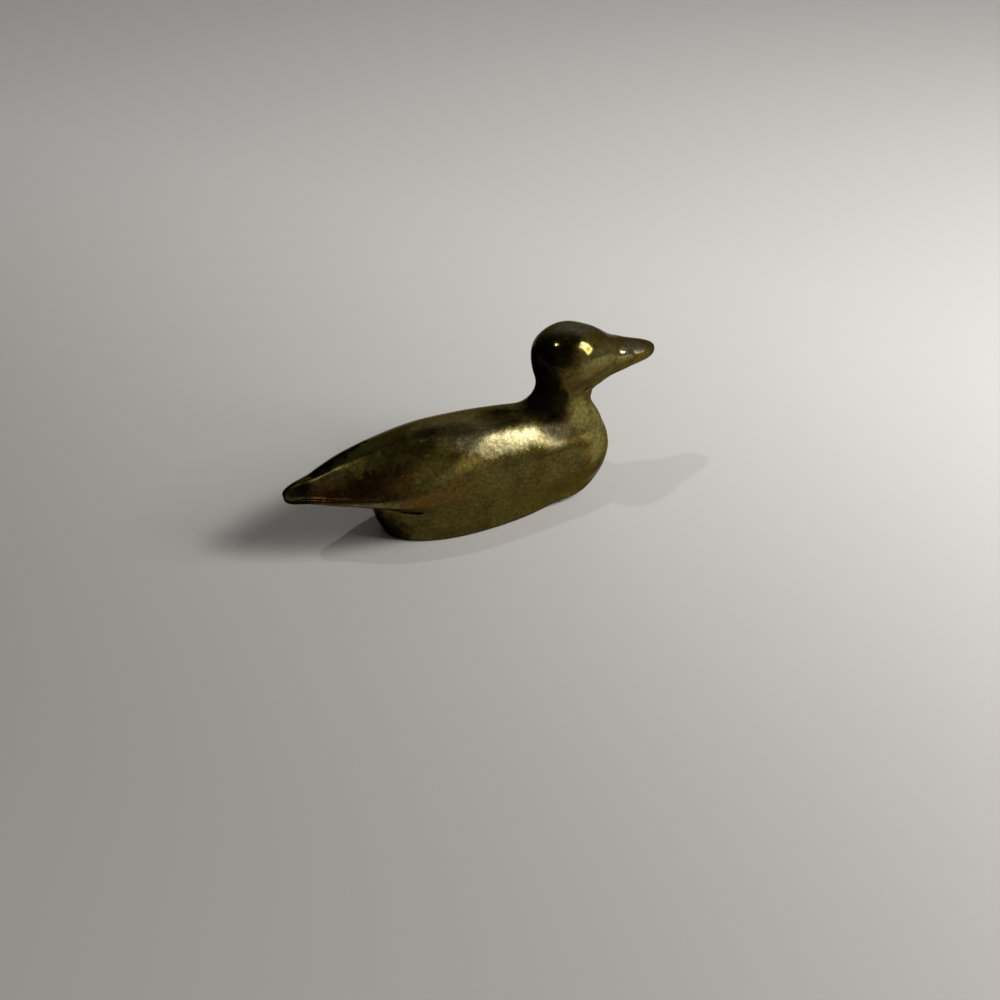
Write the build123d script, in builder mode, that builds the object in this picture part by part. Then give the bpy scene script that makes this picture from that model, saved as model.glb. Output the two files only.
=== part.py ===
from build123d import *
import os
from math import cos, radians, sin, tan

os.makedirs("parts", exist_ok=True)

# Brass duck, millimetres. X runs from tail to bill, Y to the duck's left, Z up from the table.

# Overall sizes. The bill reaches past the breast, so the two lengths along X make the whole length.
body_length = 85.4
bill_reach = 14.6
body_width = 26.8
back_height = 29.0
crown_height = 49.7
head_length = 34.2
head_width = 17.6
head_turn = 4.0

# Foot under the body
foot_front_length = 31.0
foot_rear_length = 22.8
foot_width = 20.8
foot_height = 14.0
foot_flare = 2.4
foot_edge_radius = 0.5
foot_widest_share = 0.542

# Neck and its joint. The neck is longer along X than it is wide, and its middle stands behind the breast.
neck_setback = 11.4
neck_lean = 19.0
neck_width = 13.8
neck_length_share = 1.19
joint_rise_share = -0.01
seam_angle = 50.0
seam_depth = 1.6
seam_overrun = 2.0

# Dowel in the neck
pin_diameter = 4.0
pin_length = 14.0
pin_chamfer = 0.5
pin_side_clearance = 0.05
pin_end_clearance = 0.5

# Body stations from tail tip to breast: how far along the body, the top and the underside as shares
# of the back height, and the half width as a share of half the body width.
body_station_shares = [
    (0.000, 0.698, 0.638, 0.12),
    (0.010, 0.708, 0.626, 0.185),
    (0.044, 0.726, 0.612, 0.30),
    (0.111, 0.765, 0.591, 0.53),
    (0.187, 0.817, 0.550, 0.735),
    (0.269, 0.869, 0.477, 0.89),
    (0.357, 0.929, 0.380, 0.98),
    (0.445, 0.978, 0.286, 1.00),
    (0.539, 1.000, 0.200, 0.98),
    (0.632, 0.997, 0.117, 0.94),
    (0.726, 0.969, 0.062, 0.88),
    (0.820, 0.921, 0.034, 0.81),
    (0.902, 0.865, 0.052, 0.71),
    (0.960, 0.793, 0.159, 0.545),
    (0.993, 0.668, 0.331, 0.33),
    (1.000, 0.552, 0.455, 0.09),
]

# Head stations from the back of the head to the bill tip: how far along the head, the top and the
# underside as shares of the crown height, and the half width as a share of half the head width.
head_station_shares = [
    (0.000, 0.850, 0.800, 0.15),
    (0.030, 0.916, 0.736, 0.52),
    (0.095, 0.958, 0.690, 0.82),
    (0.180, 0.988, 0.666, 0.965),
    (0.284, 1.000, 0.660, 1.00),
    (0.386, 0.984, 0.664, 0.93),
    (0.488, 0.946, 0.672, 0.80),
    (0.591, 0.898, 0.682, 0.65),
    (0.693, 0.857, 0.686, 0.56),
    (0.795, 0.825, 0.694, 0.51),
    (0.898, 0.795, 0.706, 0.42),
    (0.970, 0.776, 0.724, 0.27),
    (1.000, 0.764, 0.742, 0.09),
]

# Neck stations from the shoulder up into the head: the nape point, then the throat point, and the half
# width as a share of half the neck width. Each point is a share of the neck length behind or before the
# neck's middle, and a share of the rise from back to crown.
neck_station_shares = [
    ((-0.919, -0.116), (0.429, -0.489), 1.08),
    ((-0.529, 0.028), (0.504, -0.224), 1.03),
    ((-0.399, 0.256), (0.374, -0.030), 0.97),
    ((-0.414, 0.472), (0.370, 0.097), 0.94),
    ((-0.250, 0.652), (0.399, 0.217), 0.80),
]

# How full the outlines are: where the widest place lies between underside and top, and how far out the
# corner between them stands.
widest_height_share = 0.40
round_middle_share = 0.50
upper_fullness_share = 0.73
lower_fullness_share = 0.79
round_fullness_share = 0.73

# Lengths and places that follow from the sizes above
duck_length = body_length + bill_reach
tail_x = -duck_length / 2
neck_x = tail_x + body_length - neck_setback
neck_length = neck_width * neck_length_share
neck_rise = crown_height - back_height
foot_widest_x = tail_x + body_length * foot_widest_share


def outline(plane, top, under, half_width, middle_share, upper_share, lower_share):
    """One station's outline, the same on its left and right."""
    widest = under + (top - under) * middle_share
    with BuildSketch(plane) as station:
        with BuildLine():
            Spline(
                (0, top),
                (half_width * upper_share, widest + (top - widest) * upper_share),
                (half_width, widest),
                (half_width * lower_share, widest - (widest - under) * lower_share),
                (0, under),
                tangents=[(1, 0), (-1, 0)],
            )
            mirror(about=Plane.YZ)
        make_face()
    return station.sketch


def body_station(along_share, top_share, under_share, width_share):
    """Upright outline across the body, foot and neck left out."""
    return outline(
        Plane.YZ.offset(tail_x + body_length * along_share),
        back_height * top_share,
        back_height * under_share,
        body_width / 2 * width_share,
        widest_height_share,
        upper_fullness_share,
        lower_fullness_share,
    )


def head_station(along_share, top_share, under_share, width_share):
    """Upright outline across the head or bill, turned with the head about the middle of the neck."""
    turn = radians(head_turn)
    reach = duck_length / 2 - neck_x - head_length * (1 - along_share)
    return outline(
        Plane(
            origin=(neck_x + reach * cos(turn), reach * sin(turn), 0),
            x_dir=(-sin(turn), cos(turn), 0),
            z_dir=(cos(turn), sin(turn), 0),
        ),
        crown_height * top_share,
        crown_height * under_share,
        head_width / 2 * width_share,
        round_middle_share,
        round_fullness_share,
        round_fullness_share,
    )


def neck_point(along_share, rise_share):
    """Point on the middle plane of the neck."""
    return Vector(neck_x + neck_length * along_share, 0, back_height + neck_rise * rise_share)


def neck_station(nape_shares, throat_shares, width_share):
    """Outline across the neck, on the slanting line from nape to throat."""
    nape = neck_point(*nape_shares)
    throat = neck_point(*throat_shares)
    rise = nape - throat
    return outline(
        Plane(origin=(nape + throat) / 2, x_dir=(0, 1, 0), z_dir=Vector(0, 1, 0).cross(rise)),
        rise.length / 2,
        -rise.length / 2,
        neck_width / 2 * width_share,
        round_middle_share,
        round_fullness_share,
        round_fullness_share,
    )


def foot_station(height, flare):
    """Level outline of the foot, two half ellipses that meet at its widest place."""
    with BuildSketch(Plane.XY.offset(height)) as station:
        with BuildLine():
            for end_length, first_angle in ((foot_front_length, -90), (foot_rear_length, 90)):
                EllipticalCenterArc(
                    (foot_widest_x, 0),
                    end_length + flare,
                    foot_width / 2 + flare,
                    start_angle=first_angle,
                    arc_size=180,
                )
        make_face()
    return station.sketch


# Neck as one form, parted later at the joint
with BuildPart() as neck_form:
    loft(sections=[neck_station(*shares) for shares in neck_station_shares])

# Foot that flares upwards, with its resting edge broken
with BuildPart() as foot_form:
    loft(sections=[foot_station(0, 0), foot_station(foot_height, foot_flare)])
    fillet(foot_form.edges().group_by(Axis.Z)[0], foot_edge_radius)

lean = radians(neck_lean)
joint_plane = Plane(
    origin=(neck_x, 0, back_height + neck_rise * joint_rise_share),
    x_dir=(cos(lean), 0, -sin(lean)),
    z_dir=(sin(lean), 0, cos(lean)),
)

# Groove round the neck root, a V that opens outwards from the joint
seam_root_radius = neck_width / 2 - seam_depth
seam_rim_radius = neck_length / 2 + seam_overrun
seam_half_width = (seam_rim_radius - seam_root_radius) * tan(radians(seam_angle / 2))
with BuildPart() as seam_groove:
    with BuildSketch(Plane(joint_plane.origin, x_dir=joint_plane.x_dir, z_dir=-joint_plane.y_dir)):
        with BuildLine():
            Polyline(
                (seam_root_radius, 0),
                (seam_rim_radius, seam_half_width),
                (seam_rim_radius, -seam_half_width),
                close=True,
            )
        make_face()
    revolve(axis=Axis(joint_plane.origin, joint_plane.z_dir))

# Hole for the dowel, half in each casting
with BuildPart() as pin_hole:
    with Locations(joint_plane):
        Cylinder(pin_diameter / 2 + pin_side_clearance, pin_length + 2 * pin_end_clearance)

# Ring of brazing metal, dressed flush with the neck
with BuildPart() as braze_seam:
    add(neck_form.part)
    add(seam_groove.part, mode=Mode.INTERSECT)
braze_seam.part.label = "braze_seam"
export_step(braze_seam.part, "parts/braze_seam.step")

# Body, tail, foot and neck stump in one casting
with BuildPart() as body_casting:
    loft(sections=[body_station(*shares) for shares in body_station_shares])
    add(foot_form.part)
    add(neck_form.part)
    split(bisect_by=joint_plane, keep=Keep.BOTTOM)
    add(braze_seam.part, mode=Mode.SUBTRACT)
    add(pin_hole.part, mode=Mode.SUBTRACT)
body_casting.part.label = "body_casting"
export_step(body_casting.part, "parts/body_casting.step")

# Neck, head and bill in one casting
with BuildPart() as head_casting:
    loft(sections=[head_station(*shares) for shares in head_station_shares])
    add(neck_form.part)
    split(bisect_by=joint_plane, keep=Keep.TOP)
    add(braze_seam.part, mode=Mode.SUBTRACT)
    add(pin_hole.part, mode=Mode.SUBTRACT)
head_casting.part.label = "head_casting"
export_step(head_casting.part, "parts/head_casting.step")

# Dowel hidden in both castings
with BuildPart() as neck_pin:
    with Locations(joint_plane):
        Cylinder(pin_diameter / 2, pin_length)
    chamfer(neck_pin.edges().filter_by(GeomType.CIRCLE), pin_chamfer)
neck_pin.part.label = "neck_pin"
export_step(neck_pin.part, "parts/neck_pin.step")
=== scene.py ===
import bpy
import bmesh
import numpy as np
from math import pi, radians
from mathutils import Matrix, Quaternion, Vector


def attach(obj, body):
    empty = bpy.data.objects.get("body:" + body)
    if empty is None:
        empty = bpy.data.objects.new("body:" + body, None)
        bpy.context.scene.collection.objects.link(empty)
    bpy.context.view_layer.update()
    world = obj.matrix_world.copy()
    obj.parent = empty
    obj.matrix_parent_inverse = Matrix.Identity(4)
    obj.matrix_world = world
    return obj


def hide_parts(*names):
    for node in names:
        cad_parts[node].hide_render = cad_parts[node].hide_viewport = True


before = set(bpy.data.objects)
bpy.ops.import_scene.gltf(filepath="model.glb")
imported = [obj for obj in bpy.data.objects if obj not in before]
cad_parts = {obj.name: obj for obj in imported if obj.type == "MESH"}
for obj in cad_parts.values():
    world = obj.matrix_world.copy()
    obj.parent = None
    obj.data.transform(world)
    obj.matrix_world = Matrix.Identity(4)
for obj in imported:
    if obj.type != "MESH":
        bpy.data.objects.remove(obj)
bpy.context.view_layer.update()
scene = bpy.context.scene

MM = 0.001
X, Y, Z = range(3)

# Joint between body and head: a leaning plane at the root of the neck
JOINT_POINT = Vector((24.0, 0.0, 28.8)) * MM
JOINT_UP = Vector((0.3256, 0.0, 0.9455))
SEAM_BAND = 0.9 * MM
CUT_TOLERANCE = 0.001 * MM

# Skin round the solids
MERGE_GAP = 0.0005 * MM
VOXEL = 0.42 * MM
WEIGHT_STEPS = 20


# Mesh helpers. Points are in millimetres, X from tail to bill, Y to the duck's left and Z up.

def new_object(name, bm):
    """Object made from the bmesh, which is freed."""
    mesh = bpy.data.meshes.new(name)
    bm.to_mesh(mesh)
    bm.free()
    obj = bpy.data.objects.new(name, mesh)
    scene.collection.objects.link(obj)
    return obj


def keep_modifiers(obj):
    """Writes the live modifiers into the mesh."""
    bpy.context.view_layer.update()
    shown = obj.evaluated_get(bpy.context.evaluated_depsgraph_get())
    made = bpy.data.meshes.new_from_object(shown)
    old = obj.data
    obj.modifiers.clear()
    obj.data = made
    bpy.data.meshes.remove(old)


def skin_round_castings():
    """Closed skin round copies of the castings, the seam and the dowel."""
    bm = bmesh.new()
    for name in ("body_casting", "head_casting", "braze_seam", "neck_pin"):
        bm.from_mesh(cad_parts[name].data)
    bmesh.ops.remove_doubles(bm, verts=bm.verts, dist=MERGE_GAP)
    skin = new_object("skin", bm)
    remesh = skin.modifiers.new("Skin", "REMESH")
    remesh.mode = "VOXEL"
    remesh.voxel_size = VOXEL
    remesh.adaptivity = 0.0
    keep_modifiers(skin)
    return skin


def shell_from(start, seen):
    """All points that edges join to the first one."""
    shell = []
    waiting = [start]
    seen.add(start.index)
    while waiting:
        vert = waiting.pop()
        shell.append(vert)
        for edge in vert.link_edges:
            other = edge.other_vert(vert)
            if other.index not in seen:
                seen.add(other.index)
                waiting.append(other)
    return shell


def outer_shell_only(obj):
    """Drops the closed pockets left inside by the dowel's hole."""
    bm = bmesh.new()
    bm.from_mesh(obj.data)
    seen = set()
    shells = [shell_from(vert, seen) for vert in bm.verts if vert.index not in seen]
    shells.sort(key=len, reverse=True)
    for shell in shells[1:]:
        bmesh.ops.delete(bm, geom=shell, context="VERTS")
    bm.to_mesh(obj.data)
    bm.free()


def points_of(obj):
    points = np.empty(len(obj.data.vertices) * 3)
    obj.data.vertices.foreach_get("co", points)
    return points.reshape(-1, 3) / MM


def put_points(obj, points):
    obj.data.vertices.foreach_set("co", (points * MM).ravel())
    obj.data.update()


def normals_of(obj):
    normals = np.empty(len(obj.data.vertices) * 3)
    obj.data.vertices.foreach_get("normal", normals)
    return normals.reshape(-1, 3)


def push(obj, amounts):
    """Moves each point outwards along its normal."""
    put_points(obj, points_of(obj) + normals_of(obj) * amounts[:, None])


def smooth(obj, weights, rounds):
    """Smooths the mesh where the weights are above nothing."""
    group = obj.vertex_groups.new(name="smoothed")
    steps = np.round(np.clip(weights, 0, 1) * WEIGHT_STEPS).astype(int)
    for step in range(1, WEIGHT_STEPS + 1):
        chosen = np.nonzero(steps == step)[0]
        if len(chosen):
            group.add(chosen.tolist(), step / WEIGHT_STEPS, "REPLACE")
    smoothing = obj.modifiers.new("Smoothing", "SMOOTH")
    smoothing.factor = 0.5
    smoothing.iterations = rounds
    smoothing.vertex_group = group.name
    keep_modifiers(obj)
    obj.vertex_groups.clear()


def fill_hollows(obj, weights, rounds):
    """Rounds inside corners outwards, as a fillet does, and leaves the rest where it is."""
    before = points_of(obj)
    facing = normals_of(obj)
    smooth(obj, weights, rounds)
    rise = np.einsum("ij,ij->i", points_of(obj) - before, facing)
    put_points(obj, before + facing * np.maximum(rise, 0)[:, None])


def soft_step(values, start, end):
    """Nothing at the start and before it, one at the end and past it. The end may be the lower of the two."""
    share = np.clip((values - start) / (end - start), 0, 1)
    return share * share * (3 - 2 * share)


def hump(values, middle, half_width):
    """One at the middle, with a bell-shaped fall to each side."""
    return np.exp(-((values - middle) / half_width) ** 2)


def near(points, centre, reach):
    """One at the centre, nothing beyond the reach, with a soft fall between."""
    gap = np.linalg.norm((points - np.array(centre)) / np.array(reach), axis=1)
    return 1 - soft_step(gap, 0.0, 1.0)


def zone(points, *steps):
    """One inside a zone: each step has an axis, where the zone's soft edge starts and where it ends."""
    share = 1.0
    for axis, start, end in steps:
        share = share * soft_step(points[:, axis], start, end)
    return share


def bumps(points, places):
    """Soft bumps and dips: each place has a height, a centre and a reach."""
    return sum(height * near(points, centre, reach) for height, centre, reach in places)


# Neck, breast and head

# Corners filled between head, neck and back: centre, reach, spread and rounds of smoothing. The spread is
# the power that widens the soft zone, the more the lower it is.
NECK_CORNERS = (
    ((22, 0, 27), (17, 17, 11), 0.5, 170),
    ((22, 0, 35.5), (17, 15, 10), 0.4, 700),
)
NECK = ((20, 0, 36.5), (13, 15, 8.5))
NECK_SPREAD = 0.5
NECK_ROUNDS = 220
NECK_SWELL = 0.4

# Places where the photograph shows more or less metal than the solids have
BREAST = ((X, 22, 32), (Z, 3, 10), (Z, 34, 26))
BREAST_SWELL = 0.9
BREAST_THINNING = 0.3
BREAST_THINNING_HEIGHTS = (10, 22)
BACK_OF_HEAD = ((0.40, (18, 0, 46.5), (8, 9, 6.5)),)
FOREHEAD = ((0.32, (33, 2, 45.5), (6.5, 7, 4)), (0.12, (28, -3, 48.2), (7, 5, 3.5)))
TOP_OF_BREAST = ((0.2, (32.5, 0, 26.5), (7, 11, 6)),)
NAPE = ((-0.7, (12, 2, 33), (5, 7, 5)),)
FACES_DOWN = (0.0, 0.5)
JAW_LIFT = ((1.1, (34, 0, 34.5), (7.5, 9, 4.5)), (0.6, (41.5, 0, 35), (7, 6, 4)))

# Last smoothing of the neck root and the breast: centre, reach, spread and rounds
ROOT_AND_BREAST = (
    ((16, 0, 29), (15, 14, 8), 0.5, 30),
    ((31, 0, 23), (10, 14, 10), 0.5, 90),
)
SHOULDERS = (
    (0.70, (-1, -5.8, 27.8), (11, 5, 4)),
    (0.72, (17.5, -10.5, 21.5), (10, 6, 7)),
    (-0.20, (18, -6.5, 28), (8, 5, 4)),
    (0.40, (20, 10.5, 21.5), (9, 6, 7)),
    (-0.65, (6, 3.5, 29), (12, 7, 4)),
)


def shape_neck(duck):
    for centre, reach, spread, rounds in NECK_CORNERS:
        fill_hollows(duck, near(points_of(duck), centre, reach) ** spread, rounds)
    neck = near(points_of(duck), *NECK) ** NECK_SPREAD
    smooth(duck, neck, NECK_ROUNDS)
    push(duck, NECK_SWELL * neck)


def shape_breast_and_head(duck):
    points = points_of(duck)
    facing = normals_of(duck)
    thinning = BREAST_THINNING * soft_step(points[:, Z], *BREAST_THINNING_HEIGHTS)
    breast = zone(points, *BREAST) * (1 - thinning)
    points += facing * (bumps(points, BACK_OF_HEAD) + BREAST_SWELL * breast)[:, None]
    for places in (FOREHEAD, TOP_OF_BREAST, NAPE):
        points += facing * bumps(points, places)[:, None]
    under = soft_step(-facing[:, Z], *FACES_DOWN)
    points[:, Z] += under * bumps(points, JAW_LIFT)
    put_points(duck, points)
    for centre, reach, spread, rounds in ROOT_AND_BREAST:
        smooth(duck, near(points_of(duck), centre, reach) ** spread, rounds)
    push(duck, bumps(points_of(duck), SHOULDERS))


# Flank, tail and foot

FLANK = ((X, -21, -12), (Z, 21, 17), (Z, 0.8, 2.4))
FLANK_ROUNDS = 420
TAIL_ROOT = ((X, -14, -22), (Z, 21, 17), (Z, 0.6, 2.0))
TAIL_ROOT_ROUNDS = 12

# Tail from its tip forward: place along X, top of the solid, height of the ridge, height and half width
# of the lower edge, and slope of the near flat
TAIL_ROWS = np.array((
    (-50.2, 20.2, 20.2, 19.2, 1.6, 0.85),
    (-49.0, 20.5, 20.7, 19.1, 2.6, 0.80),
    (-46.2, 21.1, 21.7, 19.3, 4.0, 0.70),
    (-41.5, 22.0, 23.0, 19.6, 6.6, 0.62),
    (-36.0, 23.3, 24.4, 19.8, 9.1, 0.58),
    (-29.5, 24.7, 25.7, 19.4, 11.2, 0.57),
    (-21.7, 26.4, 27.0, 18.3, 12.8, 0.52),
    (-15.0, 27.8, 28.0, 16.8, 13.3, 0.46),
    (-8.0, 28.8, 28.8, 15.8, 13.4, 0.40),
))
ROOF_END = (X, 2, -14)
EDGE_FADE = (0.1, 1.4)
NEAR_SIDE_SHARES = (0.10, -0.16)
SLOPE_SCALE = 1.04
RIDGE_ROUNDING = 0.65
CREST_SHARE = 0.34
SKIN_ALLOWANCE = 0.1
SKIN_BLEND = 1.5
FAR_SIDE_TRIM = 0.02
ROOF_ROUNDS = 4

FAR_BACK = ((Y, -1, 4), (X, -44, -34), (X, -2, -16), (Z, 18, 24))
FAR_BACK_RISE = 0.5
FAR_TIP_RISE = ((0.6, (-46.0, 2, 21), (5.0, 4.5, 3)),)
BACK = ((X, -36, -22), (X, 10, 2), (Z, 12, 15))
BACK_ROUNDS = 80

TAIL_TIP = (X, -45, -50)
TIP_LENGTH = 0.7
TIP_TOP = (Z, 19.4, 20.6)
TIP_TOP_SETBACK = 0.7
TIP_MIDDLE = 19.3
TIP_THICKENING = 0.18
FOOT_REAR = ((X, -18, -27), (Z, 14, 9), (Z, 0, 6))
FOOT_REAR_LENGTH = 0.9


def fill_flank(duck):
    """Fills the corner between body and foot, wide at the flank and narrow at the root of the tail."""
    fill_hollows(duck, zone(points_of(duck), *FLANK), FLANK_ROUNDS)
    fill_hollows(duck, zone(points_of(duck), *TAIL_ROOT), TAIL_ROOT_ROUNDS)


def shape_tail_roof(duck):
    """Near side of the tail as a flat that meets the far side in a ridge, with the far side left round."""
    points = points_of(duck)
    side = points[:, Y]
    height = points[:, Z]
    rows = (np.interp(points[:, X], TAIL_ROWS[:, 0], column) for column in TAIL_ROWS.T[1:])
    top, ridge, edge, half_width, slope = rows
    across = side / half_width
    near_side = soft_step(across, *NEAR_SIDE_SHARES)
    roof = zone(points, ROOF_END) * soft_step(height, edge + EDGE_FADE[0], edge + EDGE_FADE[1])
    crest = (ridge - top) * hump(side, 0, CREST_SHARE * half_width)

    # The flat lies under the skin or only just above it
    flat = ridge - SLOPE_SCALE * slope * (np.sqrt(side ** 2 + RIDGE_ROUNDING ** 2) - RIDGE_ROUNDING)
    limit = height + crest + SKIN_ALLOWANCE
    flat = limit - np.log1p(np.exp(SKIN_BLEND * (limit - flat))) / SKIN_BLEND

    chord = top - (top - edge) * np.clip(np.abs(across), 0, 1)
    full = height - FAR_SIDE_TRIM * np.maximum(height - chord, 0) + crest
    points[:, Z] += roof * (near_side * flat + (1 - near_side) * full - height)
    put_points(duck, points)
    smooth(duck, roof, ROOF_ROUNDS)


def shape_back(duck):
    points = points_of(duck)
    points[:, Z] += FAR_BACK_RISE * zone(points, *FAR_BACK)
    points[:, Z] += bumps(points, FAR_TIP_RISE)
    put_points(duck, points)
    smooth(duck, zone(points, *BACK), BACK_ROUNDS)


def shape_tail_tip(duck):
    """Tip of the tail, a little longer and blunter, with its top edge set back."""
    points = points_of(duck)
    tip = zone(points, TAIL_TIP)
    points[:, X] -= TIP_LENGTH * tip * (1 - TIP_TOP_SETBACK * zone(points, TIP_TOP))
    points[:, Z] = TIP_MIDDLE + (points[:, Z] - TIP_MIDDLE) * (1 + TIP_THICKENING * tip)
    put_points(duck, points)


def shape_foot(duck):
    points = points_of(duck)
    points[:, X] -= FOOT_REAR_LENGTH * zone(points, *FOOT_REAR)
    put_points(duck, points)


# Bill

BILL_TIP = (X, 42, 48)
BILL_TIP_LENGTH = 0.4
BILL = (X, 34.5, 38)
BILL_SIDES = (0.2, 0.6)
EDGE_START = (36.0, 38.7)
EDGE_SLOPE = -0.03

# The two halves of the bill's edge: how far out, how high over the edge and how wide
UPPER_EDGE = (0.10, 0.35, 0.55)
LOWER_EDGE = (-0.24, -0.75, 0.60)

CREASE_START = (34.3, 42.8)
CREASE_SLOPE = 0.28
CREASE_PEAK = 2.6
CREASE_PEAK_WIDTH = 2.4
CREASE_PEAK_HEIGHTS = (42, 44)
CREASE_DEPTH = 0.07
CREASE_WIDTH = 0.45
HEAD_HEIGHTS = (34.5, 36)

# Each side of the head: which side of the middle it is on, and how far the base of the bill swells
SIDES = ((-1, 0.45), (1, 0.12))
BILL_BASE = (39.6, 3.6, 40.7)
BILL_BASE_REACH = (3.2, 3.0, 2.8)
FOLD_PLACE = (28.6, 5.6, 34.6)
FOLD_ALONG = (0.78, 0.62)
FOLD_LENGTH = 1.3
FOLD_WIDTH = 0.45
FOLD_SPREAD = 4.0
FOLD_DEPTH = 0.65


def shape_bill(duck):
    """Longer tip, and an edge with the lower half drawn in under it."""
    points = points_of(duck)
    points[:, X] += BILL_TIP_LENGTH * zone(points, BILL_TIP)
    put_points(duck, points)
    points = points_of(duck)
    facing = normals_of(duck)
    gap = points[:, Z] - (EDGE_START[1] + (points[:, X] - EDGE_START[0]) * EDGE_SLOPE)
    bill = zone(points, BILL) * soft_step(np.abs(facing[:, Y]), *BILL_SIDES)
    shift = sum(height * hump(gap, middle, width) for height, middle, width in (UPPER_EDGE, LOWER_EDGE))
    push(duck, bill * shift)


def shape_folds(duck):
    """Crease round the base of the bill, and the short folds where the jaw meets the neck."""
    points = points_of(duck)
    facing = normals_of(duck)
    crease_x = CREASE_START[0] + CREASE_SLOPE * (CREASE_START[1] - points[:, Z])
    peak = soft_step(points[:, Z], *CREASE_PEAK_HEIGHTS)
    crease_x += CREASE_PEAK * hump(points[:, Y], 0, CREASE_PEAK_WIDTH) * peak
    crease = soft_step(points[:, Z], *HEAD_HEIGHTS) * hump(points[:, X], crease_x, CREASE_WIDTH)
    points -= facing * (CREASE_DEPTH * crease)[:, None]
    for side, swell in SIDES:
        mirrored = np.array((1, side, 1))
        points += facing * (swell * near(points, BILL_BASE * mirrored, BILL_BASE_REACH))[:, None]
        gap = points - FOLD_PLACE * mirrored
        along = gap[:, X] * FOLD_ALONG[0] + gap[:, Z] * FOLD_ALONG[1]
        across = gap[:, X] * FOLD_ALONG[1] - gap[:, Z] * FOLD_ALONG[0]
        fold = hump(along, 0, FOLD_LENGTH) * hump(across, 0, FOLD_WIDTH) * hump(gap[:, Y], 0, FOLD_SPREAD)
        points -= facing * (FOLD_DEPTH * fold)[:, None]
    put_points(duck, points)


# Whole duck, with its resting face kept flat through the last smoothing

FIRST_ROUNDS = 3
LAST_ROUNDS = 4
ABOVE_REST = (Z, 0.3, 1.5)

duck = skin_round_castings()
outer_shell_only(duck)
smooth(duck, np.ones(len(duck.data.vertices)), FIRST_ROUNDS)
for shape in (shape_neck, shape_breast_and_head, fill_flank, shape_tail_roof, shape_back, shape_tail_tip,
              shape_foot, shape_bill, shape_folds):
    shape(duck)
smooth(duck, zone(points_of(duck), ABOVE_REST), LAST_ROUNDS)
for poly in duck.data.polygons:
    poly.use_smooth = True


# Pieces

def slice_of(obj, name, low=None, high=None):
    """Closed slice of the duck between two planes parallel to the joint."""
    bm = bmesh.new()
    bm.from_mesh(obj.data)
    for shift, outwards in ((low, -1), (high, 1)):
        if shift is None:
            continue
        cut = bmesh.ops.bisect_plane(
            bm, geom=bm.verts[:] + bm.edges[:] + bm.faces[:], dist=CUT_TOLERANCE,
            plane_co=JOINT_POINT + JOINT_UP * shift, plane_no=JOINT_UP * outwards, clear_outer=True)
        rim = [item for item in cut["geom_cut"] if isinstance(item, bmesh.types.BMEdge)]
        cap = bmesh.ops.edgeloop_fill(bm, edges=rim)["faces"]
        for item in cap + rim:
            item.smooth = False
    bmesh.ops.recalc_face_normals(bm, faces=bm.faces[:])
    return new_object(name, bm)


body = slice_of(duck, "duck_body", high=-SEAM_BAND)
seam = slice_of(duck, "neck_seam", low=-SEAM_BAND, high=SEAM_BAND)
head = slice_of(duck, "duck_head", low=SEAM_BAND)
bpy.data.objects.remove(duck)


# Finish

# Rim of a colour patch: its noise (grain in millimetres, detail and roughness), the middle of the noise's
# values and where the rim runs, as a share of the patch's reach
RIM_NOISE = (2.5, 4, 0.65)
NOISE_MIDDLE = 0.5
RIM_PLACE = 0.85


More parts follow.
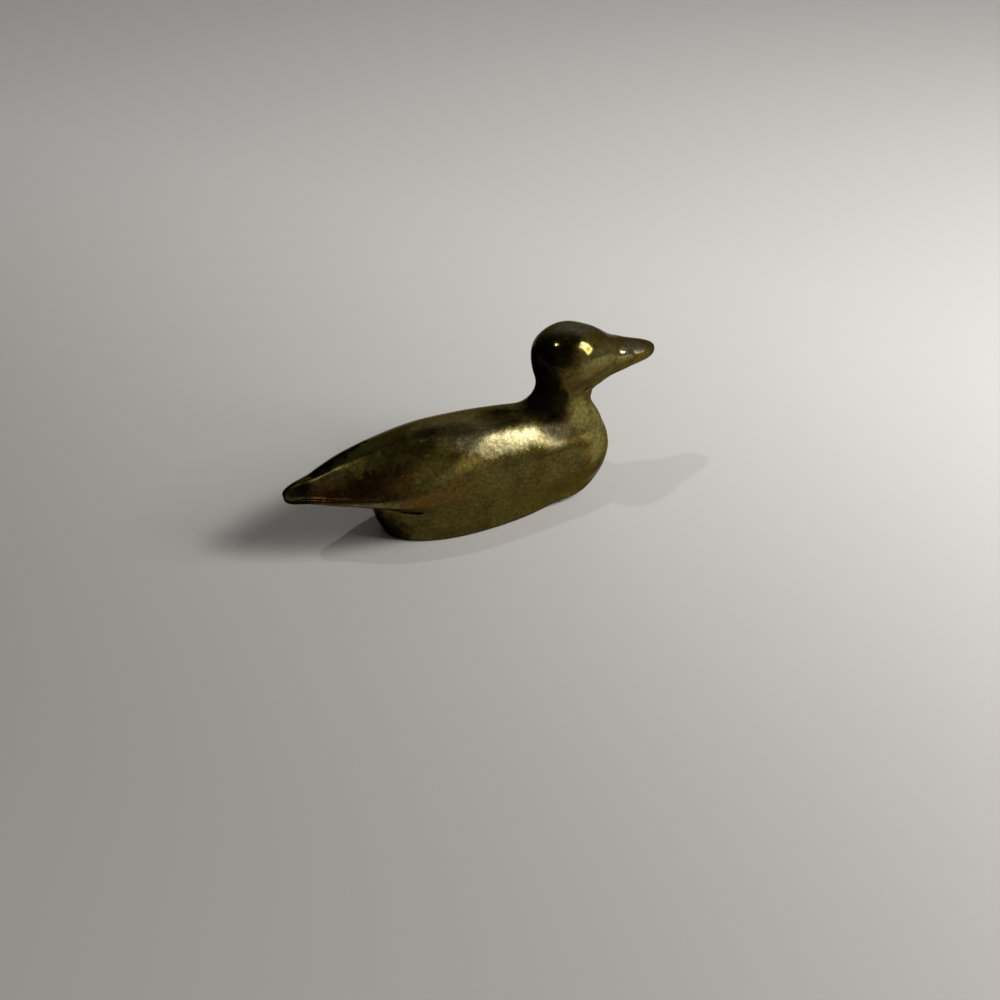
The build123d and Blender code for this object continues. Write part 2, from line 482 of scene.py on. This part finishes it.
class Finish:
    """A finish in the making: its shader, and a call for each kind of node that it is made of."""

    def __init__(self, name):
        self.paint = bpy.data.materials.new(name)
        self.paint.use_nodes = True
        self.nodes = self.paint.node_tree.nodes
        self.links = self.paint.node_tree.links
        self.nodes.clear()
        out = self.nodes.new("ShaderNodeOutputMaterial")
        self.shader = self.nodes.new("ShaderNodeBsdfPrincipled")
        self.links.new(self.shader.outputs["BSDF"], out.inputs["Surface"])
        self.place = self.nodes.new("ShaderNodeTexCoord").outputs["Object"]

    def feed(self, socket, value):
        """Gives a socket a plain number, a colour or the output of another node."""
        if isinstance(value, bpy.types.NodeSocket):
            self.links.new(value, socket)
        elif isinstance(value, tuple):
            socket.default_value = (*value, 1)
        else:
            socket.default_value = value

    def set(self, name, value):
        self.feed(self.shader.inputs[name], value)

    def operate(self, kind, operation, first):
        """New node for the operation, with its first input fed."""
        node = self.nodes.new(kind)
        node.operation = operation
        self.feed(node.inputs[0], first)
        return node

    def noise(self, grain_mm, detail, roughness, way=None):
        node = self.nodes.new("ShaderNodeTexNoise")
        node.inputs["Scale"].default_value = 1 / (grain_mm * MM)
        node.inputs["Detail"].default_value = detail
        node.inputs["Roughness"].default_value = roughness
        self.links.new(way or self.place, node.inputs["Vector"])
        return node.outputs["Fac"]

    def turned(self, kind, angles, scale, location=(0, 0, 0)):
        """Object coordinates turned by the angles in degrees, stretched and moved."""
        node = self.nodes.new("ShaderNodeMapping")
        node.vector_type = kind
        node.inputs["Location"].default_value = location
        node.inputs["Rotation"].default_value = [radians(angle) for angle in angles]
        node.inputs["Scale"].default_value = scale
        self.links.new(self.place, node.inputs["Vector"])
        return node.outputs["Vector"]

    def math(self, kind, first, second):
        node = self.operate("ShaderNodeMath", kind, first)
        self.feed(node.inputs[1], second)
        return node.outputs["Value"]

    def times(self, first, second):
        return self.math("MULTIPLY", first, second)

    def plus(self, first, *others):
        for other in others:
            first = self.math("ADD", first, other)
        return first

    def ramp(self, value, start, end, start_out=0.0, end_out=1.0):
        """Soft change from one value to another while the input goes from start to end."""
        node = self.nodes.new("ShaderNodeMapRange")
        node.interpolation_type = "SMOOTHSTEP"
        node.inputs["From Min"].default_value = start
        node.inputs["From Max"].default_value = end
        node.inputs["To Min"].default_value = start_out
        node.inputs["To Max"].default_value = end_out
        self.links.new(value, node.inputs["Value"])
        return node.outputs["Result"]

    def clouds(self, noise, levels, way=None):
        """Noise of the given grain, detail and roughness, brought to the given levels."""
        return self.ramp(self.noise(*noise, way), *levels)

    def patch(self, centre_mm, reach_mm, ragged=0.35, soft=0.3):
        """One inside a rounded patch with a ragged rim, nothing outside it."""
        centre = [value * MM for value in centre_mm]
        reach = [value * MM for value in reach_mm]
        inside = self.turned("TEXTURE", (0, 0, 0), reach, centre)
        size = self.operate("ShaderNodeVectorMath", "LENGTH", inside)
        rim = self.math("SUBTRACT", self.noise(*RIM_NOISE), NOISE_MIDDLE)
        gap = self.plus(size.outputs["Value"], self.times(rim, ragged * 4))
        return self.ramp(gap, RIM_PLACE + soft, RIM_PLACE - soft)

    def tint(self, under, colour, share):
        node = self.nodes.new("ShaderNodeMix")
        node.data_type = "RGBA"
        self.feed(node.inputs["A"], under)
        self.feed(node.inputs["B"], colour)
        self.feed(node.inputs["Factor"], share)
        return node.outputs["Result"]

    def scaled(self, vector, scale):
        node = self.operate("ShaderNodeVectorMath", "SCALE", vector)
        self.links.new(scale, node.inputs["Scale"])
        return node.outputs["Vector"]

    def along(self, direction):
        """How far each point lies along the direction."""
        node = self.operate("ShaderNodeVectorMath", "DOT_PRODUCT", self.place)
        node.inputs[1].default_value = direction
        return node.outputs["Value"]

    def relief(self, height_mm):
        """Bumps of the given height in millimetres."""
        bump = self.nodes.new("ShaderNodeBump")
        bump.inputs["Strength"].default_value = 1.0
        bump.inputs["Distance"].default_value = MM
        self.links.new(height_mm, bump.inputs["Height"])
        self.links.new(bump.outputs["Normal"], self.shader.inputs["Normal"])


# Clouds of colour on the old brass: noise (grain in millimetres, detail and roughness), then levels (where
# the change starts and ends, and the share at the start and at the end, which is 0 and 1 if not given)
OLIVE_CLOUDS = ((9, 5, 0.65), (0.36, 0.60))
YELLOW_CLOUDS = ((3.5, 6, 0.75), (0.54, 0.80, 0.0, 0.45))
RUSSET_STREAKS = ((7, 5, 0.65), (0.58, 0.76, 0.0, 0.5))
STREAK_TURN = ((40, 0, 20), (1.0, 1.3, 1.6))
MOTTLE = ((0.9, 4, 0.75), (0.36, 0.68, 0.66, 1.34))

# Colours of old brass, also used for the painted shade, painted highlights and painted reflections in the
# patches
OLIVE = (0.109, 0.089, 0.020)
BROWN = (0.080, 0.054, 0.011)
YELLOW = (0.207, 0.180, 0.052)
RUSSET = (0.145, 0.074, 0.014)
UMBER = (0.060, 0.028, 0.008)
DARK = (0.018, 0.015, 0.006)
PALE = (0.230, 0.200, 0.105)
GREY = (0.140, 0.120, 0.090)
# Lighter olive, used below for a painted sheen on the back
LIGHT_OLIVE = (0.185, 0.158, 0.064)

# Patches of colour, each over the ones before it: colour, share, centre and reach; many are painted shade,
# painted highlights or painted reflections, as marked
COLOUR_PATCHES = (
    # Painted shade: these three umber patches darken the near side of the tail, where it mirrors the dim room
    # overhead
    (UMBER, 0.90, (-37, -6.0, 21.3), (16, 6, 4.0)),
    (UMBER, 0.90, (-44, -4.0, 20.8), (7, 5, 3.2)),
    (UMBER, 0.60, (-25, -8.0, 22.5), (8, 6, 4.0)),
    (RUSSET, 0.50, (-12.5, -13.3, 18.5), (9, 3, 3.2)),
    (RUSSET, 0.50, (-24, -12, 16.5), (14, 4, 2.8)),
    (RUSSET, 0.60, (28.9, -8.6, 17.5), (3, 3, 4.5)),
    (RUSSET, 0.55, (19.9, -6.7, 37.5), (2.6, 3, 4.5)),
    (RUSSET, 0.60, (23.5, -1.5, 49.4), (3.5, 3.5, 1.6)),
    # Painted sheen: this yellow patch on the grainy breast under the neck stands in for a broad reflection of
    # light
    (YELLOW, 1.00, (25.5, -6.8, 27.5), (3.8, 3, 5)),
    # Painted highlight: pale patch that brightens the highlight on the shoulder
    (PALE, 0.80, (8, -8.2, 25.8), (12.5, 4, 3.2)),
    (YELLOW, 0.50, (27.5, -8.0, 42.5), (4.5, 3, 4.5)),
    (YELLOW, 0.45, (38.5, -4.0, 39.8), (4, 2, 1.8)),
    # Painted reflection: grey sheen on the top of the bill
    (GREY, 0.60, (43.4, -1.2, 40.6), (6, 2.8, 2.4)),
    # Painted sheen: lighter olive on the top of the back
    (LIGHT_OLIVE, 0.65, (-7, 1, 28.6), (13, 8, 2.6)),
    # Painted shade on the back just behind the neck
    (DARK, 0.70, (6.5, 1, 29.3), (7.5, 7, 2.4)),
    (YELLOW, 0.70, (32, -7, 21), (6, 7, 11)),
    # Painted reflection: grey sheen on the crown
    (GREY, 0.75, (27, 1.5, 49.0), (7, 6, 2.4)),
    (DARK, 0.55, (-13.5, 0.1, 28.2), (3.4, 2.2, 1.6)),
    # Painted shade: darkens the far side of the tail against the bright room it mirrors
    (DARK, 0.85, (-36, 5.5, 22), (20, 6, 4.5)),
    # Painted shade: the tip of the tail and its near side made near black
    (DARK, 0.98, (-50.5, 0, 19.8), (5.2, 4.5, 3.4)),
    (DARK, 1.00, (-48, -2.5, 20.4), (5.5, 5.0, 3.6)),
    # Painted reflection: pale strip along the underside of the tail's lower edge, standing in for the lit
    # floor it mirrors
    (PALE, 0.95, (-34, -8, 17.0), (15, 7, 2.3)),
    # Lighter olive between the head and the base of the bill
    (LIGHT_OLIVE, 0.60, (33, -5, 43), (5, 4, 4)),
    # Painted shade: two dark patches dim the highlight along the ridge of the tail
    (DARK, 0.60, (-37, -2, 24), (4, 3, 2)),
    (DARK, 0.70, (-42, -1.5, 22.3), (9, 3.2, 2.5)),
    # Painted shadow: the rear of the foot, made near black
    (DARK, 0.80, (-25.5, -4, 4), (6, 7, 7)),
    # Painted shade in the undercut above the foot
    (DARK, 0.90, (-21.5, -9.0, 12.0), (7, 3, 1.2)),
    # Painted shade in the corner at the root of the neck
    (DARK, 0.85, (14.0, -3.0, 30), (5.5, 5, 4)),
    # Painted highlight shaping on the shoulder: the dark patch puts the highlight's upper right into painted
    # shade, and the two pale patches brighten its lower right and its left lobe
    (DARK, 0.70, (17.5, -5.0, 29.6), (6, 4, 3)),
    (PALE, 0.60, (19.5, -10, 24), (6, 4, 3.5)),
    (PALE, 0.70, (-1, -7, 27.3), (7, 4, 3)),
    # Painted shade in the fold where the jaw meets the neck
    (DARK, 0.85, (28.4, -6.6, 34.6), (1.6, 1.4, 0.7)),
    # Painted highlight: pale spot on the side of the bill near its base
    (PALE, 0.95, (38.6, -3.4, 41.3), (1.8, 1.6, 1.5)),
    # Painted shade along the blunt tip of the bill
    (DARK, 0.60, (48.6, 0, 37.4), (2.0, 2.4, 1.2)),
    # Painted shade on the back of the crown
    (DARK, 0.80, (17.2, -2.6, 48.2), (3.2, 3.4, 3.0)),
    # Painted shade: umber beside the highlight on the shoulder dims a grey reflection there
    (UMBER, 0.70, (19.8, -6.8, 28.4), (3.6, 3.2, 2.6)),
)

# Painted shade in black on the back of the neck and head, where the dim room is mirrored, with a firmer rim:
# centre and reach
NAPE_PAINTED_SHADE = (((15.0, -3, 40), (6.8, 10, 9)), ((17.0, -3, 33), (6.8, 10, 7.5)))
NAPE_SHADE_SHARE = 0.97
NAPE_SHADE_RIM = 0.12

# What the skin shows at a glancing angle, dim where its colour is dark, painted shade included, and brighter
# where its colour is pale
GLANCE_DARK = (0.22, 0.19, 0.15)
GLANCE_PALE = (0.50, 0.46, 0.37)
PALENESS_RANGE = (0.016, 0.050)
LACQUER_SHARE = 0.09
LACQUER_ROUGHNESS = 0.10

# Roughness of the skin, then what is added where it is dull or taken off where it is polished: share,
# centre and reach
SKIN_ROUGHNESS = ((5, 5, 0.6), (0.35, 0.65, 0.20, 0.28))
DULL_PATCHES = (
    (0.40, (14.0, -3.0, 29.5), (5, 5.5, 3.2)),
    (0.10, (27, -7, 26), (8, 6, 9)),
    (0.30, (15, -3, 34), (7, 9, 7.0)),
    (-0.13, (28, -5, 46), (6.5, 5, 4)),
    (0.08, (-42, -1.2, 22.4), (10, 4, 3)),
    (0.16, (-12, -11, 20), (17, 6, 8)),
    (0.08, (18, -9.5, 24), (9, 5, 6)),
    (0.06, (-1, -7.5, 27), (9, 5, 4)),
    (0.18, (-50, 0, 19.6), (4, 4, 3)),
    (0.22, (25, -8, 39), (13, 6, 5.5)),
    (-0.10, (38.6, -3.4, 41.3), (2.6, 2, 2)),
    (-0.12, (19.5, -3, 47.5), (5, 4, 3.5)),
)
DULL_RIM = 0.2
WORN_SHOULDER = ((8, -7.8, 26), (16, 5, 4.5))
WORN_RIM = 0.25
WORN_ROUGHNESS = 0.15

# Relief of the skin: its noises, and its heights in millimetres
GRAIN = (0.42, 3, 0.65)
GRAIN_HEIGHT = 0.007
PITS = ((1.3, 4, 0.7), (0.60, 0.72))
PIT_HEIGHT = -0.020
WAVES = (6, 2, 0.5)
WAVE_HEIGHT = 0.025
DENTS = (1.7, 3, 0.6)
DENT_HEIGHT = 0.13
FILE_STROKES = (0.30, 2, 0.5)
FILE_TURN = ((0, 0, -37), (16, 1, 1))
FILE_MARKS = ((12, -4.8, 26.8), (6, 4, 3))
FILE_HEIGHT = 0.030

# Turned brass of the dowel
BRIGHT = (0.62, 0.47, 0.19)
TARNISHED = (0.50, 0.36, 0.13)
TARNISH_CLOUDS = ((2.5, 4, 0.6), (0.40, 0.62))
TURNED_ROUGHNESS = ((0.8, 4, 0.6), (0.35, 0.65, 0.24, 0.34))
RINGS = (0.25, 2, 0.5)
RING_TURN = ((0, 0, 0), (0.1, 0.1, 1.0))
RING_HEIGHT = 0.01


def brass_colour(finish):
    """Olive and brown tarnish with yellow and russet clouds, and the patches over it, many of them painted
    shade, painted highlights and painted reflections.
    """
    colour = finish.tint(BROWN, OLIVE, finish.clouds(*OLIVE_CLOUDS))
    colour = finish.tint(colour, YELLOW, finish.clouds(*YELLOW_CLOUDS))
    streaks = finish.clouds(*RUSSET_STREAKS, finish.turned("POINT", *STREAK_TURN))
    colour = finish.tint(colour, RUSSET, streaks)
    for hue, share, centre, reach in COLOUR_PATCHES:
        colour = finish.tint(colour, hue, finish.times(finish.patch(centre, reach), share))
    # Painted shade in black on the back of the neck and head
    for centre, reach in NAPE_PAINTED_SHADE:
        nape_shade = finish.patch(centre, reach, NAPE_SHADE_RIM, NAPE_SHADE_RIM)
        colour = finish.tint(colour, DARK, finish.times(nape_shade, NAPE_SHADE_SHARE))
    return colour


def brass_roughness(finish, worn):
    rough = finish.plus(finish.clouds(*SKIN_ROUGHNESS), finish.times(worn, WORN_ROUGHNESS))
    for share, centre, reach in DULL_PATCHES:
        rough = finish.plus(rough, finish.times(finish.patch(centre, reach, DULL_RIM), share))
    return rough


def brass_relief(finish, worn):
    """Sandy grain, pits and shallow waves all over, dents where it is worn, and the file marks."""
    grain = finish.times(finish.noise(*GRAIN), GRAIN_HEIGHT)
    pits = finish.times(finish.clouds(*PITS), PIT_HEIGHT)
    waves = finish.times(finish.noise(*WAVES), WAVE_HEIGHT)
    dents = finish.times(finish.times(finish.noise(*DENTS), worn), DENT_HEIGHT)
    strokes = finish.noise(*FILE_STROKES, finish.turned("TEXTURE", *FILE_TURN))
    filed = finish.times(finish.times(strokes, finish.patch(*FILE_MARKS, DULL_RIM)), FILE_HEIGHT)
    return finish.plus(finish.plus(grain, pits), finish.plus(waves, dents), filed)


def aged_brass_with_painted_light(name):
    """Old brass: olive and brown tarnish with a fine sandy grain, rougher where it is handled, with painted
    shade, painted highlights and painted reflections in its colour.
    """
    finish = Finish(name)
    colour = brass_colour(finish)
    # Share of pale colour; the painted shade in the colour also dims the glancing reflection and the lacquer
    paleness = finish.ramp(colour, *PALENESS_RANGE)
    worn = finish.patch(*WORN_SHOULDER, WORN_RIM)
    finish.set("Base Color", finish.scaled(colour, finish.clouds(*MOTTLE)))
    finish.set("Metallic", 1.0)
    finish.set("Specular Tint", finish.tint(GLANCE_DARK, GLANCE_PALE, paleness))
    finish.set("Coat Weight", finish.times(paleness, LACQUER_SHARE))
    finish.set("Coat Roughness", LACQUER_ROUGHNESS)
    finish.set("Roughness", brass_roughness(finish, worn))
    finish.relief(brass_relief(finish, worn))
    return finish.paint


def turned_brass(name):
    """Clean brass of the hidden dowel, with fine turning marks."""
    finish = Finish(name)
    finish.set("Base Color", finish.tint(BRIGHT, TARNISHED, finish.clouds(*TARNISH_CLOUDS)))
    finish.set("Metallic", 1.0)
    finish.set("Roughness", finish.clouds(*TURNED_ROUGHNESS))
    rings = finish.noise(*RINGS, finish.turned("POINT", *RING_TURN))
    finish.relief(finish.times(rings, RING_HEIGHT))
    return finish.paint


brass = aged_brass_with_painted_light("aged_brass_with_painted_light")
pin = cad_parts["neck_pin"]
pin.data.materials.clear()
pin.data.materials.append(turned_brass("turned_brass"))
for piece, node, slot in (
        (body, "body_casting", "body_brass"),
        (seam, "braze_seam", "seam_brass"),
        (head, "head_casting", "head_brass")):
    piece.data.materials.append(brass)
    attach(piece, "root")
    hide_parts(node)


# Studio, in metres

# Floor, dim near the camera and paler towards the back and the right: painted light, graded in the floor's
# colour as the light falls
FLOOR_HALF_SIZE = 3.0
FLOOR_DIM = (0.355, 0.341, 0.328)
FLOOR_PALE = (0.655, 0.645, 0.627)
FLOOR_WAY = (0.75, 0.66, 0)
FLOOR_CHANGE = (-0.12, 0.16)
FLOOR_ROUGHNESS = 0.6

# Lamps: name, place, width, height, power in watts and colour
LAMP_AIM = Vector((0, 0, 0.02))
KEY_LAMP = ("key_lamp", (-0.366, 0.165, 0.945), 0.030, 0.030, 1.35, (1.0, 0.98, 0.94))
SPOT_LAMP = ("spot_lamp", (0.400, -0.250, 0.455), 0.120, 0.120, 1.5, (1.0, 0.99, 0.96))

# Window lamp: glows are watts for each square metre, over pi, and the lean is in degrees
WINDOW_PLACE = Vector((0.420, -0.275, 0.428))
WINDOW_WIDTH = 0.40
WINDOW_HEIGHT = 0.22
WINDOW_RIM = 0.040
WINDOW_RIM_GLOW = 17.5
WINDOW_PANE_GLOW = 7.0
WINDOW_COLOUR = (1.0, 0.99, 0.96)
WINDOW_LEAN = -82

# Air of the room, between two colours. Each share of the bright one has a direction and the range along it.
AIR_DIM = (0.034, 0.033, 0.032)
AIR_BRIGHT = (0.38, 0.375, 0.36)
AIR_TO_THE_RIGHT = ((1, 0, 0), -0.30, 0.40)
AIR_OFF_OVERHEAD = ((0, 0, 1), 0.97, 0.60)


def floor_with_painted_light():
    bm = bmesh.new()
    bmesh.ops.create_grid(bm, x_segments=1, y_segments=1, size=FLOOR_HALF_SIZE)
    floor = new_object("floor", bm)
    finish = Finish("floor_paint")
    # Painted light: the floor's colour grades from dim to pale along this way
    change = finish.ramp(finish.along(FLOOR_WAY), *FLOOR_CHANGE)
    finish.set("Base Color", finish.tint(FLOOR_DIM, FLOOR_PALE, change))
    finish.set("Roughness", FLOOR_ROUGHNESS)
    floor.data.materials.append(finish.paint)


def area_lamp(name, place, width, height, power, colour):
    data = bpy.data.lights.new(name, "AREA")
    data.shape = "RECTANGLE"
    data.size = width
    data.size_y = height
    data.energy = power
    data.color = colour
    lamp = bpy.data.objects.new(name, data)
    lamp.location = place
    lamp.rotation_euler = (LAMP_AIM - Vector(place)).to_track_quat("-Z", "Y").to_euler()
    scene.collection.objects.link(lamp)
    return lamp


def window_lamp():
    """Soft lamp with a bright rim round a dimmer pane."""
    turn = (LAMP_AIM - WINDOW_PLACE).to_track_quat("-Z", "Y") @ Quaternion((0, 0, 1), radians(WINDOW_LEAN))
    pane_width = WINDOW_WIDTH - 2 * WINDOW_RIM
    pane_height = WINDOW_HEIGHT - 2 * WINDOW_RIM
    across = (WINDOW_WIDTH - WINDOW_RIM) / 2
    up = (WINDOW_HEIGHT - WINDOW_RIM) / 2
    for number, (shift, width, height, glow) in enumerate((
            ((0, 0, 0), pane_width, pane_height, WINDOW_PANE_GLOW),
            ((0, up, 0), WINDOW_WIDTH, WINDOW_RIM, WINDOW_RIM_GLOW),
            ((0, -up, 0), WINDOW_WIDTH, WINDOW_RIM, WINDOW_RIM_GLOW),
            ((across, 0, 0), WINDOW_RIM, pane_height, WINDOW_RIM_GLOW),
            ((-across, 0, 0), WINDOW_RIM, pane_height, WINDOW_RIM_GLOW))):
        spot = WINDOW_PLACE + turn @ Vector(shift)
        power = glow * pi * width * height
        lamp = area_lamp("window_lamp_%d" % number, spot, width, height, power, WINDOW_COLOUR)
        lamp.rotation_euler = turn.to_euler()


def studio_air():
    """Soft light of the room: brighter low on the right, dim on the left and overhead."""
    world = bpy.data.worlds.new("studio_air")
    world.use_nodes = True
    nodes = world.node_tree.nodes
    links = world.node_tree.links
    way = nodes.new("ShaderNodeTexCoord").outputs["Generated"]

    def part(direction, start, end):
        dot = nodes.new("ShaderNodeVectorMath")
        dot.operation = "DOT_PRODUCT"
        dot.inputs[1].default_value = direction
        links.new(way, dot.inputs[0])
        step = nodes.new("ShaderNodeMapRange")
        step.interpolation_type = "SMOOTHSTEP"
        step.inputs["From Min"].default_value = start
        step.inputs["From Max"].default_value = end
        links.new(dot.outputs["Value"], step.inputs["Value"])
        return step.outputs["Result"]

    share = nodes.new("ShaderNodeMath")
    share.operation = "MULTIPLY"
    links.new(part(*AIR_TO_THE_RIGHT), share.inputs[0])
    links.new(part(*AIR_OFF_OVERHEAD), share.inputs[1])
    mix = nodes.new("ShaderNodeMix")
    mix.data_type = "RGBA"
    mix.inputs["A"].default_value = (*AIR_DIM, 1)
    mix.inputs["B"].default_value = (*AIR_BRIGHT, 1)
    links.new(share.outputs["Value"], mix.inputs["Factor"])
    links.new(mix.outputs["Result"], nodes["Background"].inputs["Color"])
    return world


floor_with_painted_light()
area_lamp(*KEY_LAMP)
area_lamp(*SPOT_LAMP)
window_lamp()
scene.world = studio_air()


# Camera, with its turns in degrees

CAMERA_PLACE = (-0.076748, -0.210295, 0.193434)
CAMERA_TURNS = (49.4302, 0.3278, -21.8418)
SENSOR_WIDTH = 36
LENS = 39.6
NEAREST = 0.01

camera_data = bpy.data.cameras.new("camera")
camera_data.sensor_width = SENSOR_WIDTH
camera_data.lens = LENS
camera_data.clip_start = NEAREST
camera = bpy.data.objects.new("camera", camera_data)
camera.location = CAMERA_PLACE
camera.rotation_euler = [radians(turn) for turn in CAMERA_TURNS]
scene.collection.objects.link(camera)
scene.camera = camera
scene.view_settings.view_transform = "Standard"
